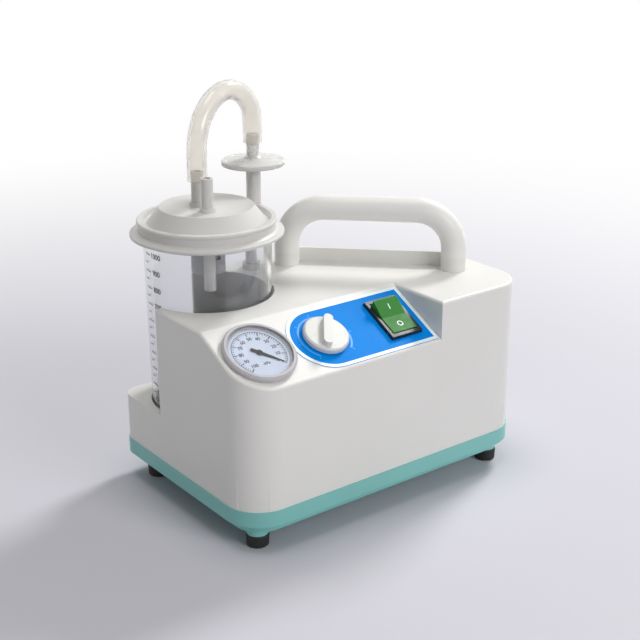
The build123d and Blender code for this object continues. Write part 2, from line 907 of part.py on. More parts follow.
barb_level = -stem_mid
valve_outline = [
    (spindle_radius + spindle_fit, label_thickness + nut_height + 0.4),
    (neck_radius, label_thickness + nut_height + 0.4),
    (neck_radius, valve_top),
    (valve_radius, valve_top),
    (valve_radius, -valve_length),
    (1.0, -valve_length),
    (1.0, seat_level - 0.6),
    (spindle_radius + spindle_fit, seat_level + 5.0),
]
valve_shell = turned(panel_section(knob_x, knob_down_slope), valve_outline)


def panel_spot(x, down, above, direction):
    """Plane at a point given on the panel, facing along a direction."""
    return Plane(origin=panel.from_local_coords((x, -down, above)), z_dir=direction)


barb_reach = valve_radius + barb_length
with BuildPart() as regulator_valve:
    add(valve_shell.part)
    with BuildSketch(panel_spot(knob_x - valve_radius + 1, knob_down_slope, barb_level, -panel.x_dir)):
        Circle(barb_radius)
    extrude(amount=barb_length + 1)
    with BuildSketch(panel_spot(knob_x, knob_down_slope - valve_radius + 1, barb_level, panel.y_dir)):
        Circle(barb_radius)
    extrude(amount=barb_length + 1)
    with BuildSketch(panel_spot(knob_x - barb_reach, knob_down_slope, barb_level, panel.x_dir)):
        Circle(barb_radius - barb_wall)
    extrude(amount=barb_reach - 2, mode=Mode.SUBTRACT)
    with BuildSketch(panel_spot(knob_x, knob_down_slope - barb_reach, barb_level, -panel.y_dir)):
        Circle(barb_radius - barb_wall)
    extrude(amount=barb_reach - 2, mode=Mode.SUBTRACT)
save(regulator_valve, "regulator_valve")

with BuildPart() as regulator_nut:
    with BuildSketch(on_panel(knob_x, knob_down_slope, label_thickness)):
        RegularPolygon(nut_radius, 6)
        Circle(neck_radius + 0.05, mode=Mode.SUBTRACT)
    extrude(amount=nut_height)
save(regulator_nut, "regulator_nut")

# Rocker switch
switch_plane = on_panel(switch_x, switch_down_slope, label_thickness)
opening_width = switch_width - 2 * switch_rim
opening_length = switch_length - 2 * switch_rim
switch_wall = 1.6
axle_level = 1.0
axle_radius = 1.5
axle_fit = 0.08
rocker_half = opening_length / 2 - rocker_gap - 1.0
rocker_crown = switch_frame_height + 0.6
rocker_rise = rocker_half * tan(radians(rocker_tilt))
with BuildPart() as switch_body:
    with BuildSketch(switch_plane):
        Rectangle(switch_width, switch_length)
    extrude(amount=switch_frame_height, taper=12)
    with BuildSketch(switch_plane):
        Rectangle(switch_body_width, switch_body_length)
    extrude(amount=-switch_depth)
    with BuildSketch(switch_plane.offset(switch_frame_height)):
        Rectangle(opening_width, opening_length)
    extrude(amount=-(switch_frame_height + switch_depth - switch_wall), mode=Mode.SUBTRACT)
    with BuildSketch(
        Plane(
            origin=switch_plane.from_local_coords((-opening_width / 2 - 1.2, 0, axle_level)),
            x_dir=switch_plane.y_dir,
            z_dir=switch_plane.x_dir,
        )
    ):
        Circle(axle_radius + axle_fit)
    extrude(amount=opening_width + 2.4, mode=Mode.SUBTRACT)
save(switch_body, "switch_body")

axle_plane = Plane(
    origin=switch_plane.from_local_coords((-opening_width / 2 + rocker_gap, 0, axle_level)),
    x_dir=switch_plane.y_dir.rotate(Axis((0, 0, 0), tuple(switch_plane.x_dir)), rocker_tilt),
    z_dir=switch_plane.x_dir,
)
crown = rocker_crown - axle_level
with BuildPart() as power_rocker:
    with BuildSketch(axle_plane):
        with BuildLine():
            Polyline(
                (0, crown),
                (rocker_half, crown + rocker_rise),
                (rocker_half - 0.8, -2.5),
                (0, -5.5),
                (-rocker_half + 0.8, -2.5),
                (-rocker_half, crown + rocker_rise),
                close=True,
            )
        make_face()
    extrude(amount=opening_width - 2 * rocker_gap)
    with BuildSketch(axle_plane.offset(-rocker_gap - 1.0)):
        Circle(axle_radius)
    extrude(amount=opening_width + 2.0)
save(power_rocker, "power_rocker")

blade_length = 8.0
with BuildPart() as switch_terminals:
    with BuildSketch(switch_plane.offset(-switch_depth)):
        with GridLocations(12, 14, 2, 2):
            Rectangle(6.3, 0.8)
    extrude(amount=-blade_length)
save(switch_terminals, "switch_terminals")

# Collection jar
jar_section = upright(jar_x, jar_y, jar_floor)
jar_outline = [
    (0, 1.5),
    (jar_base_radius - 8.0, 1.5),
    (jar_base_radius - 7.0, 0),
    (jar_base_radius - 1.5, 0),
    (jar_base_radius, 1.5),
    (jar_radius, jar_height - 9.0),
    (jar_radius, jar_height - 7.0),
    (jar_radius + 1.2, jar_height - 6.0),
    (jar_radius + 1.2, jar_height - 3.0),
    (jar_radius, jar_height - 2.0),
    (jar_radius, jar_height),
    (jar_radius - jar_wall, jar_height),
    (jar_base_radius - jar_wall, 5.5),
    (jar_base_radius - jar_wall - 1.5, 4.0),
    (0, 4.0),
]
collection_jar = turned(jar_section, jar_outline)
save(collection_jar, "collection_jar")

# Lid
skirt_inner = jar_radius + 1.2 + skirt_clearance
skirt_bottom = lid_land - lid_wall - skirt_length
flange_top = lid_land - 7.1
flange_bottom = flange_top - lid_wall
ceiling = lid_top - lid_wall
cone_radius = platform_radius + 9.5
rim_outer = skirt_inner + 2.2
lid_outline = [
    (0, lid_top),
    (platform_radius, lid_top),
    (cone_radius, lid_land),
    (cone_radius + 2.5, lid_land),
    (rim_outer - 3.6, lid_land + lid_rim_height),
    (rim_outer, lid_land + lid_rim_height),
    (rim_outer + 0.7, lid_land + lid_rim_height - 0.8),
    (rim_outer + 0.7, lid_land + 1.0),
    (rim_outer - 0.5, lid_land - 0.6),
    (rim_outer - 0.2, flange_top + 1.6),
    (rim_outer + 2.0, flange_top + 0.5),
    (lid_flange_radius - 0.6, flange_top),
    (lid_flange_radius, flange_top - 0.6),
    (lid_flange_radius, flange_bottom + 0.4),
    (rim_outer + 2.0, flange_bottom - 0.6),
    (skirt_inner + 2.4, skirt_bottom),
    (skirt_inner, skirt_bottom),
    (skirt_inner, lid_land - lid_wall),
    (cone_radius - 0.6, lid_land - lid_wall),
    (platform_radius - 0.8, ceiling),
    (0, ceiling),
]
collar_radius = cage_radius - cage_wall - 0.1
collar_wall = 2.0
collar_length = 10.0
seat_thickness = 2.4
seat_bore = 4.0
drip_bottom = ceiling - drip_tube_depth
lid_shell = turned(upright(jar_x, jar_y), lid_outline)
with BuildPart() as jar_lid:
    add(lid_shell.part)
    with BuildSketch(level(lid_top - 1)):
        with Locations((port_x, port_y)):
            Circle(port_radius)
    extrude(amount=port_length + 1)
    with BuildSketch(level(lid_top - 1)):
        with Locations((port_x, port_y)):
            Circle(port_radius + 2.2)
        with Locations((patient_x, patient_y)):
            Circle(patient_radius + 2.2)
    extrude(amount=4.0, taper=12)
    with BuildSketch(level(lid_top - 1)):
        with Locations((patient_x, patient_y)):
            Circle(patient_radius)
    extrude(amount=patient_length + 1)
    with BuildSketch(level(drip_bottom)):
        with Locations((patient_x, patient_y)):
            Circle(patient_radius)
    extrude(amount=drip_tube_depth + 1)
    with BuildSketch(level(ceiling - collar_length)):
        with Locations((jar_x, jar_y)):
            Circle(collar_radius)
    extrude(amount=collar_length + 1)
    with BuildSketch(level(ceiling - collar_length)):
        with Locations((jar_x, jar_y)):
            Circle(seat_bore)
    extrude(amount=seat_thickness, mode=Mode.SUBTRACT)
    with BuildSketch(level(ceiling - collar_length + seat_thickness)):
        with Locations((jar_x, jar_y)):
            Circle(collar_radius - collar_wall)
    extrude(amount=collar_length - seat_thickness, mode=Mode.SUBTRACT)
    with BuildSketch(level(ceiling - 3)):
        with Locations((port_x, port_y)):
            Circle(port_bore)
    extrude(amount=port_length + 2 * lid_wall + 3, mode=Mode.SUBTRACT)
    with BuildSketch(level(drip_bottom - 1)):
        with Locations((patient_x, patient_y)):
            Circle(patient_bore)
    extrude(amount=drip_tube_depth + patient_length + 3 * lid_wall, mode=Mode.SUBTRACT)
save(jar_lid, "jar_lid")

with BuildPart() as lid_seal:
    with BuildSketch(level(jar_rim)):
        with Locations((jar_x, jar_y)):
            Circle(skirt_inner - 0.1)
            Circle(jar_radius - jar_wall, mode=Mode.SUBTRACT)
    extrude(amount=seal_thickness)
save(lid_seal, "lid_seal")

# Float valve: at the top of its travel the disc is a small gap short of the seat in the lid
disc_thickness = 1.5
seat_gap = 0.4
float_rest_gap = 0.1
cage_floor = 2.0
float_bottom = ceiling - collar_length - seat_gap - float_travel - disc_thickness - float_length
cage_bottom = float_bottom - float_rest_gap - cage_floor
cage_length = ceiling - cage_bottom
window_width = 7.0
window_height = 26.0
window_middle = cage_bottom + 24.0
with BuildPart() as float_cage:
    with BuildSketch(level(cage_bottom)):
        with Locations((jar_x, jar_y)):
            Circle(cage_radius)
    extrude(amount=cage_length)
    with BuildSketch(level(cage_bottom + cage_floor)):
        with Locations((jar_x, jar_y)):
            Circle(cage_radius - cage_wall)
    extrude(amount=cage_length, mode=Mode.SUBTRACT)
    with BuildSketch(level(cage_bottom)):
        with Locations((jar_x, jar_y)):
            with PolarLocations(6.5, 6):
                Circle(2.0)
    extrude(amount=cage_floor, mode=Mode.SUBTRACT)
    for turn in (0, 90):
        outward = (cos(radians(turn)), sin(radians(turn)), 0)
        with BuildSketch(Plane(origin=(jar_x, jar_y, window_middle), z_dir=outward)):
            Rectangle(window_width, window_height)
        extrude(amount=2 * cage_radius, both=True, mode=Mode.SUBTRACT)
save(float_cage, "float_cage")

float_outline = [
    (0, 0),
    (float_radius - 3.0, 0),
    (float_radius, 3.0),
    (float_radius, float_length - 3.0),
    (float_radius - 3.0, float_length),
    (0, float_length),
]
valve_float = turned(upright(jar_x, jar_y, float_bottom), float_outline)
save(valve_float, "valve_float")

with BuildPart() as float_disc:
    with BuildSketch(level(float_bottom + float_length)):
        with Locations((jar_x, jar_y)):
            Circle(seat_bore + 2.0)
    extrude(amount=disc_thickness)
save(float_disc, "float_disc")

# Bacterial filter: two shells round a membrane, and the pipe down to the suction inlet
inlet_flange = 5.0
nozzle_top = top + inlet_flange + nozzle_reach
spout_length = 23.5
hose_overlap = 7.5
lower_spigot = 22.0
membrane_half = 0.3
filter_section = upright(filter_x, filter_y, filter_z)
upper_outline = [
    (port_bore, spout_length),
    (port_radius, spout_length),
    (port_radius, 5.5),
    (port_radius + 2.0, 4.0),
    (filter_radius - 5.0, filter_rim / 2 + 0.4),
    (filter_radius - 0.5, filter_rim / 2),
    (filter_radius, filter_rim / 2 - 0.5),
    (filter_radius, 0.05),
    (filter_radius - 3.0, 0.05),
    (filter_radius - 3.0, 1.2),
    (port_bore, 2.2),
]
lower_outline = [
    (port_bore, -lower_spigot),
    (port_radius - 0.6, -lower_spigot),
    (port_radius - 0.6, -5.5),
    (port_radius + 2.0, -4.0),
    (filter_radius - 5.0, -filter_rim / 2 - 0.4),
    (filter_radius - 0.5, -filter_rim / 2),
    (filter_radius, 0.5 - filter_rim / 2),
    (filter_radius, -0.05),
    (filter_radius - 3.0, -0.05),
    (filter_radius - 3.0, -1.2),
    (port_bore, -2.2),
]
filter_upper = turned(filter_section, upper_outline)
save(filter_upper, "filter_upper")
filter_lower = turned(filter_section, lower_outline)
save(filter_lower, "filter_lower")
with BuildPart() as filter_membrane:
    with BuildSketch(level(filter_z - membrane_half)):
        with Locations((filter_x, filter_y)):
            Circle(filter_radius - 3.2)
    extrude(amount=2 * membrane_half)
save(filter_membrane, "filter_membrane")

pipe_outline = [
    (stem_bore, top + inlet_flange + 0.3),
    (stem_radius, top + inlet_flange + 0.3),
    (stem_radius, filter_z - 6.5),
    (port_radius - 0.6 + hose_fit, filter_z - 6.5),
    (port_radius - 0.6 + hose_fit, filter_z - lower_spigot - 0.2),
    (stem_bore, filter_z - lower_spigot - 0.2),
]
filter_pipe = turned(upright(filter_x, filter_y), pipe_outline)
save(filter_pipe, "filter_pipe")

# Hose arch from the lid to the filter. Each point is a share of the way across and a rise above the
# straight line between its two ends.
port_top = lid_top + port_length
spout_top = filter_z + spout_length
arch_start = port_top - hose_overlap
arch_end = spout_top - hose_overlap
arch_shape = [
    (0.0, 0.0),
    (0.0, 15.5),
    (0.012, 30.8),
    (0.085, 43.8),
    (0.26, 54.2),
    (0.53, 56.8),
    (0.81, 46.2),
    (0.98, 29.6),
    (1.0, 15.0),
    (1.0, 0.0),
]
arch_points = [
    (
        port_x + share * (filter_x - port_x),
        port_y + share * (filter_y - port_y),
        arch_start + share * (arch_end - arch_start) + rise,
    )
    for share, rise in arch_shape
]
suction_hose = hose(arch_points, hose_radius, port_radius + hose_fit)
print("hose arch radii", [round(radius, 1) for radius in run_radii(arch_points)])
save(suction_hose, "suction_hose")

# Suction inlet on the case, with two barbs below for the hoses inside
inlet_barb_level = top - 18.0
side_barb_level = inlet_barb_level - 4.0
block_bottom = top - 28.0
nozzle_outline = [
    (2.6, nozzle_top),
    (stem_bore - nozzle_fit, nozzle_top),
    (stem_bore - nozzle_fit, top + inlet_flange),
    (9.0, top + inlet_flange),
    (9.0, top),
    (inlet_neck_radius, top),
    (inlet_neck_radius, block_bottom),
    (2.6, block_bottom),
]
nozzle_shell = turned(upright(filter_x, filter_y), nozzle_outline)
block_reach = 8.0
block_height = 16.0
with BuildPart() as suction_inlet:
    add(nozzle_shell.part)
    with BuildSketch(level(block_bottom)):
        with Locations((filter_x, filter_y)):
            Rectangle(2 * block_reach, 2 * block_reach)
    extrude(amount=block_height)
    with BuildSketch(Plane(origin=(filter_x + block_reach, filter_y, inlet_barb_level), z_dir=(1, 0, 0))):
        Circle(barb_radius)
    extrude(amount=barb_length)
    with BuildSketch(Plane(origin=(filter_x, filter_y - block_reach, side_barb_level), z_dir=(0, -1, 0))):
        Circle(barb_radius)
    extrude(amount=barb_length)
save(suction_inlet, "suction_inlet")

with BuildPart() as inlet_nut:
    with BuildSketch(level(top - wall)):
        with Locations((filter_x, filter_y)):
            RegularPolygon(9.0, 6)
            Circle(inlet_neck_radius + 0.05, mode=Mode.SUBTRACT)
    extrude(amount=-3.0)
save(inlet_nut, "inlet_nut")

# Pump unit on its bracket
bracket_level = tray_floor + mount_height
mount_grid = (92.0, 60.0)
mount_mid_x = motor_left + mount_grid[0] / 2 - 24.0
face_x = motor_left - bracket_thickness
web_width = 2 * motor_radius - 4.0
web_top = motor_z + 24.0
web_bore = 15.0
saddle_width = 44.0
saddle_top = motor_z - 20.0
with BuildPart() as rubber_mounts:
    with BuildSketch(level(tray_floor)):
        with Locations((mount_mid_x, motor_y)):
            with GridLocations(*mount_grid, 2, 2):
                Circle(mount_radius)
    extrude(amount=mount_height)
save(rubber_mounts, "rubber_mounts")

with BuildPart() as pump_bracket:
    with BuildSketch(level(bracket_level)):
        with Locations((mount_mid_x, motor_y)):
            RectangleRounded(mount_grid[0] + 24, mount_grid[1] + 20, 6)
    extrude(amount=bracket_thickness)
    with BuildSketch(Plane.YZ.offset(face_x)):
        with Locations((motor_y, 0)):
            with Locations((0, bracket_level)):
                Rectangle(web_width, web_top - bracket_level, align=(Align.CENTER, Align.MIN))
            with Locations((0, motor_z)):
                Circle(web_bore, mode=Mode.SUBTRACT)
    extrude(amount=bracket_thickness)
    with BuildSketch(Plane.YZ.offset(motor_left + motor_length - 14)):
        with Locations((motor_y, bracket_level)):
            Rectangle(saddle_width, saddle_top - bracket_level, align=(Align.CENTER, Align.MIN))
        with Locations((motor_y, motor_z)):
            Circle(motor_radius + 0.2, mode=Mode.SUBTRACT)
    extrude(amount=4.0)
save(pump_bracket, "pump_bracket")

bearing_radius = 9.0
bearing_width = 6.0
rotor_length = 50.0
motor_right = motor_left + motor_length
with BuildPart() as motor_housing:
    with BuildSketch(Plane.YZ.offset(motor_left)):
        with Locations((motor_y, motor_z)):
            Circle(motor_radius)
            Circle(bearing_radius + 0.02, mode=Mode.SUBTRACT)
    extrude(amount=motor_length)
    with BuildSketch(Plane.YZ.offset(motor_left + bearing_width)):
        with Locations((motor_y, motor_z)):
            Circle(motor_radius - motor_wall)
    extrude(amount=motor_length - 2 * bearing_width, mode=Mode.SUBTRACT)
save(motor_housing, "motor_housing")

rotor_start = motor_left + (motor_length - rotor_length) / 2
with BuildPart() as motor_stator:
    with BuildSketch(Plane.YZ.offset(rotor_start)):
        with Locations((motor_y, motor_z)):
            Circle(motor_radius - motor_wall - 0.02)
            Circle(rotor_radius + rotor_gap, mode=Mode.SUBTRACT)
    extrude(amount=rotor_length)
save(motor_stator, "motor_stator")

shaft_left = motor_left - 36.0
fan_left = motor_right + 6.0
shaft_right = fan_left + fan_width + 2.0
with BuildPart() as motor_shaft:
    with BuildSketch(Plane.YZ.offset(shaft_left)):
        with Locations((motor_y, motor_z)):
            Circle(shaft_radius)
    extrude(amount=shaft_right - shaft_left)
    with BuildSketch(Plane.YZ.offset(rotor_start)):
        with Locations((motor_y, motor_z)):
            Circle(rotor_radius)
    extrude(amount=rotor_length)
save(motor_shaft, "motor_shaft")

with BuildPart() as shaft_bearings:
    for start in (motor_left, motor_right - bearing_width):
        with BuildSketch(Plane.YZ.offset(start)):
            with Locations((motor_y, motor_z)):
                Circle(bearing_radius)
                Circle(shaft_radius + 0.03, mode=Mode.SUBTRACT)
        extrude(amount=bearing_width)
save(shaft_bearings, "shaft_bearings")

fan_blades = 7
with BuildPart() as cooling_fan:
    with BuildSketch(Plane.YZ.offset(fan_left)):
        with Locations((motor_y, motor_z)):
            Circle(shaft_radius + 5.0)
    extrude(amount=fan_width)
    with BuildSketch(Plane.YZ.offset(fan_left)):
        with Locations((motor_y, motor_z)):
            Circle(fan_radius)
    extrude(amount=1.6)
    with BuildSketch(Plane.YZ.offset(fan_left + 1.6)):
        with Locations((motor_y, motor_z)):
            with PolarLocations((fan_radius + shaft_radius + 5) / 2 - 0.5, fan_blades):
                Rectangle(fan_radius - shaft_radius - 5, 2.0, rotation=12)
    extrude(amount=fan_width - 1.6)
    with BuildSketch(Plane.YZ.offset(fan_left)):
        with Locations((motor_y, motor_z)):
            Circle(shaft_radius + 0.02)
    extrude(amount=fan_width, mode=Mode.SUBTRACT)
save(cooling_fan, "cooling_fan")

# Diaphragm pump: crankcase, eccentric, rod, diaphragm and head
crank_right = face_x
crank_left = crank_right - crankcase_width
crank_bottom = motor_z - crankcase_height / 2
crank_top = motor_z + crankcase_height / 2
rod_x = crank_left + crankcase_width / 2 - 3.0
rod_width = 8.0
ring_clearance = 0.4
head_screw_grid = (crankcase_width - 9.0, crankcase_depth - 9.0)
head_screw_radius = 1.5
head_boss_radius = 4.0
crank_bore = 12.0
head_screw_grip = 12.0
head_hole_radius = head_screw_radius + screw_clearance
ring_inner = eccentric_radius + eccentric_offset + ring_clearance
ring_outer = ring_inner + 3.5
with BuildPart() as crankcase:
    with BuildSketch(level(crank_bottom)):
        with Locations((crank_left + crankcase_width / 2, motor_y)):
            RectangleRounded(crankcase_width, crankcase_depth, 5)
    extrude(amount=crank_top - crank_bottom)
    with BuildSketch(level(crank_bottom + crankcase_wall)):
        with Locations((crank_left + crankcase_width / 2, motor_y)):
            RectangleRounded(crankcase_width - 2 * crankcase_wall, crankcase_depth - 2 * crankcase_wall, 2)
    extrude(amount=crank_top - crank_bottom, mode=Mode.SUBTRACT)
    with BuildSketch(level(crank_bottom + crankcase_wall)):
        with Locations((crank_left + crankcase_width / 2, motor_y)):
            with GridLocations(*head_screw_grid, 2, 2):
                Circle(head_boss_radius)
    extrude(amount=crank_top - crank_bottom - crankcase_wall)
    with BuildSketch(level(crank_top)):
        with Locations((crank_left + crankcase_width / 2, motor_y)):
            with GridLocations(*head_screw_grid, 2, 2):
                Circle(head_screw_radius + 0.05)
    extrude(amount=-head_screw_grip, mode=Mode.SUBTRACT)
    with BuildSketch(Plane.YZ.offset(crank_right)):
        with Locations((motor_y, motor_z)):
            Circle(crank_bore)
    extrude(amount=-crankcase_wall, mode=Mode.SUBTRACT)
save(crankcase, "crankcase")

with BuildPart() as eccentric:
    with BuildSketch(Plane.YZ.offset(rod_x - rod_width / 2 - 0.5)):
        with Locations((motor_y, motor_z + eccentric_offset)):
            Circle(eccentric_radius)
        with Locations((motor_y, motor_z)):
            Circle(shaft_radius + 0.02, mode=Mode.SUBTRACT)
    extrude(amount=rod_width + 1.0)
save(eccentric, "eccentric")

diaphragm_level = crank_top
diaphragm_thickness = 1.6
with BuildPart() as pump_rod:
    with BuildSketch(Plane.YZ.offset(rod_x - rod_width / 2)):
        with Locations((motor_y, motor_z)):
            Circle(ring_outer)
        with Locations((motor_y, motor_z + ring_outer - 2)):
            Rectangle(7.0, diaphragm_level - motor_z - ring_outer + 2, align=(Align.CENTER, Align.MIN))
        with Locations((motor_y, motor_z)):
            Circle(ring_inner, mode=Mode.SUBTRACT)
    extrude(amount=rod_width)
save(pump_rod, "pump_rod")

head_x = crank_left + crankcase_width / 2
head_size = crankcase_width
plate_height = 4.0
cover_height = 12.0


def head_plan():
    """Plan of the pump head with the holes of its four screws."""
    with BuildSketch(Plane.XY) as plan:
        with Locations((head_x, motor_y)):
            RectangleRounded(head_size, crankcase_depth, 5)
            with GridLocations(*head_screw_grid, 2, 2):
                Circle(head_hole_radius, mode=Mode.SUBTRACT)
    return plan.sketch


with BuildPart() as pump_diaphragm:
    with BuildSketch(level(diaphragm_level)):
        add(head_plan())
    extrude(amount=diaphragm_thickness)
save(pump_diaphragm, "pump_diaphragm")

valve_level = diaphragm_level + diaphragm_thickness
valve_spread = 11.0
with BuildPart() as valve_plate:
    with BuildSketch(level(valve_level)):
        add(head_plan())
        with Locations((head_x, motor_y - valve_spread), (head_x, motor_y + valve_spread)):
            with PolarLocations(4.0, 6):
                Circle(1.2, mode=Mode.SUBTRACT)
    extrude(amount=plate_height)
save(valve_plate, "valve_plate")

cover_level = valve_level + plate_height
cover_top = cover_level + cover_height
cover_roof = 3.0
head_port_spread = 12.0
head_ports = [(head_x, motor_y - head_port_spread), (head_x, motor_y + head_port_spread)]
cover_barb_length = 9.0
with BuildPart() as pump_cover:
    with BuildSketch(level(cover_level)):
        add(head_plan())
    extrude(amount=cover_height)
    with BuildSketch(level(cover_level)):
        with Locations(*head_ports):
            Rectangle(head_size - 16.0, 2 * head_port_spread - 7.0)
    extrude(amount=cover_height - cover_roof, mode=Mode.SUBTRACT)
    with BuildSketch(level(cover_top)):
        with Locations(*head_ports):
            Circle(barb_radius)
    extrude(amount=cover_barb_length)
    with BuildSketch(level(cover_top - cover_roof)):
        with Locations(*head_ports):
            Circle(barb_radius - barb_wall)
    extrude(amount=cover_barb_length + cover_roof, mode=Mode.SUBTRACT)
save(pump_cover, "pump_cover")

with BuildPart() as head_screws:
    with BuildSketch(level(cover_top)):
        with Locations((head_x, motor_y)):
            with GridLocations(*head_screw_grid, 2, 2):
                Circle(head_screw_radius + 1.4)
    extrude(amount=2.6)
    with BuildSketch(level(cover_top)):
        with Locations((head_x, motor_y)):
            with GridLocations(*head_screw_grid, 2, 2):
                Circle(head_screw_radius)
    extrude(amount=crank_top - head_screw_grip + 1.0 - cover_top)
save(head_screws, "head_screws")

# Exhaust muffler on the tray
muffler_x = half_width - 78.0
muffler_y = 30.0 - half_depth
muffler_radius = 11.0
muffler_height = 42.0
muffler_outline = [
    (0, 0),
    (muffler_radius - 1.0, 0),
    (muffler_radius - 1.0, muffler_height - 12),
    (muffler_radius, muffler_height - 12),
    (muffler_radius, muffler_height - 2),
    (muffler_radius - 2.0, muffler_height),
    (barb_radius, muffler_height),
    (barb_radius, muffler_height + barb_length),
    (0, muffler_height + barb_length),
]
exhaust_muffler = turned(upright(muffler_x, muffler_y, tray_floor), muffler_outline)
save(exhaust_muffler, "exhaust_muffler")

# Hoses inside, each pushed over a barb at both ends
fit_bore = barb_radius + hose_fit
inlet_hose = hose(
    [
        (filter_x + block_reach, filter_y, inlet_barb_level),
        (filter_x + 23, filter_y, inlet_barb_level),
        (filter_x + 34, filter_y - 9, inlet_barb_level + 0.5),
        (filter_x + 34, filter_y - 24, inlet_barb_level + 1),
        (head_x + 10, motor_y + head_port_spread + 11, inlet_barb_level + 2),
        (head_x, motor_y + head_port_spread, cover_top + 17),
        (head_x, motor_y + head_port_spread, cover_top + 0.2),
    ],
    inner_hose_radius,
    fit_bore,
)
save(inlet_hose, "inlet_hose")

valve_back = panel.from_local_coords((knob_x, -knob_down_slope + valve_radius, barb_level))
regulator_hose = hose(
    [
        (filter_x, filter_y - block_reach, side_barb_level),
        (filter_x, filter_y - block_reach - 16, side_barb_level),
        (filter_x - 4, filter_y - 42, side_barb_level + 0.6),
        (filter_x - 13, filter_y - 62, side_barb_level + 1.6),
        (knob_x + 6, -10, side_barb_level + 2.6),
        (knob_x, valve_back.Y + 16 * panel.y_dir.Y, valve_back.Z + 16 * panel.y_dir.Z),
        tuple(valve_back),
    ],
    inner_hose_radius,
    fit_bore,
)
save(regulator_hose, "regulator_hose")

valve_left = panel.from_local_coords((knob_x - valve_radius, -knob_down_slope, barb_level))
stem_right = panel.from_local_coords((gauge_x + stem_block / 2, -gauge_down_slope, -stem_mid))
gauge_hose = hose(
    [
        tuple(valve_left),
        tuple(valve_left - panel.x_dir * 15),
        tuple(stem_right + panel.x_dir * 15),
        tuple(stem_right),
    ],
    inner_hose_radius,
    fit_bore,
)
save(gauge_hose, "gauge_hose")

muffler_top = tray_floor + muffler_height
outlet_y = motor_y - head_port_spread
exhaust_hose = hose(
    [
        (head_x, outlet_y, cover_top + 0.2),
        (head_x, outlet_y, cover_top + 17),
        (head_x + 12, outlet_y - 11, cover_top + 25),
        (head_x + 27, outlet_y - 24, cover_top + 22),
        (head_x + 41, outlet_y - 37, cover_top + 13),
        (muffler_x - 11, muffler_y + 18, muffler_top + 67),
        (muffler_x - 4, muffler_y + 9, muffler_top + 51),
        (muffler_x - 1, muffler_y + 3, muffler_top + 34),
        (muffler_x, muffler_y, muffler_top + 17),
        (muffler_x, muffler_y, muffler_top),
    ],
    inner_hose_radius,
    fit_bore,
)
save(exhaust_hose, "exhaust_hose")

# Mains inlet and fuse holder in the rear wall


def on_rear(x):
    """Plane on the outside of the rear wall at the height of the mains inlet."""
    return Plane(
        origin=(x, half_depth - seam_inset, seam + inlet_rise), x_dir=(-1, 0, 0), z_dir=(0, 1, 0)
    )


rear_plane_out = on_rear(inlet_x)
c14_flange = 2.5
c14_depth = 22.0
c14_socket_depth = 16.0
c14_pin_width = 2.0
c14_pin_height = 4.0
c14_pins = [(0, 2.0), (-7.0, -2.0), (7.0, -2.0)]
with BuildPart() as mains_inlet:
    with BuildSketch(rear_plane_out):
        RectangleRounded(c14_screw_pitch + 10.0, c14_height + 3.4, 3)
    extrude(amount=c14_flange)
    with BuildSketch(rear_plane_out):
        RectangleRounded(c14_width, c14_height, 2)
    extrude(amount=-c14_depth)
    with BuildSketch(rear_plane_out.offset(c14_flange)):
        RectangleRounded(c14_width - 3.0, c14_height - 3.2, 3)
    extrude(amount=-c14_socket_depth, mode=Mode.SUBTRACT)
    with BuildSketch(rear_plane_out.offset(-c14_depth)):
        with Locations(*c14_pins):
            Rectangle(c14_pin_width, c14_pin_height)
    extrude(amount=c14_depth, mode=Mode.SUBTRACT)
    with BuildSketch(rear_plane_out):
        with GridLocations(c14_screw_pitch, 1, 2, 1):
            Circle(1.6)
    extrude(amount=c14_flange, mode=Mode.SUBTRACT)
save(mains_inlet, "mains_inlet")

with BuildPart() as inlet_pins:
    with BuildSketch(rear_plane_out.offset(-c14_depth - blade_length)):
        with Locations(*c14_pins):
            Rectangle(c14_pin_width, c14_pin_height)
    extrude(amount=c14_depth + blade_length - c14_flange)
save(inlet_pins, "inlet_pins")

with BuildPart() as inlet_screws:
    with BuildSketch(rear_plane_out.offset(c14_flange)):
        with GridLocations(c14_screw_pitch, 1, 2, 1):
            Circle(2.8)
    extrude(amount=1.6)
    with BuildSketch(rear_plane_out.offset(c14_flange)):
        with GridLocations(c14_screw_pitch, 1, 2, 1):
            Circle(1.5)
    extrude(amount=-10.0)
save(inlet_screws, "inlet_screws")

fuse_plane = on_rear(fuse_x)
with BuildPart() as fuse_holder:
    with BuildSketch(fuse_plane):
        Circle(fuse_radius + 1.8)
    extrude(amount=2.0)
    with BuildSketch(fuse_plane):
        Circle(fuse_radius)
    extrude(amount=-30.0)
    with BuildSketch(fuse_plane.offset(2.0)):
        Circle(fuse_radius - 0.6)
    extrude(amount=5.0, taper=4)
    with BuildSketch(fuse_plane.offset(7.0)):
        Rectangle(8.0, 1.4)
    extrude(amount=-1.5, mode=Mode.SUBTRACT)
save(fuse_holder, "fuse_holder")
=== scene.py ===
"""Looks of the portable suction unit: materials for every CAD piece, printed marks on jar, gauge and
label, a pale floor, soft studio light and the camera of the photograph. Metres, same frame as the CAD."""
import json
from math import cos, radians, sin, tan

import bpy
from mathutils import Matrix, Vector


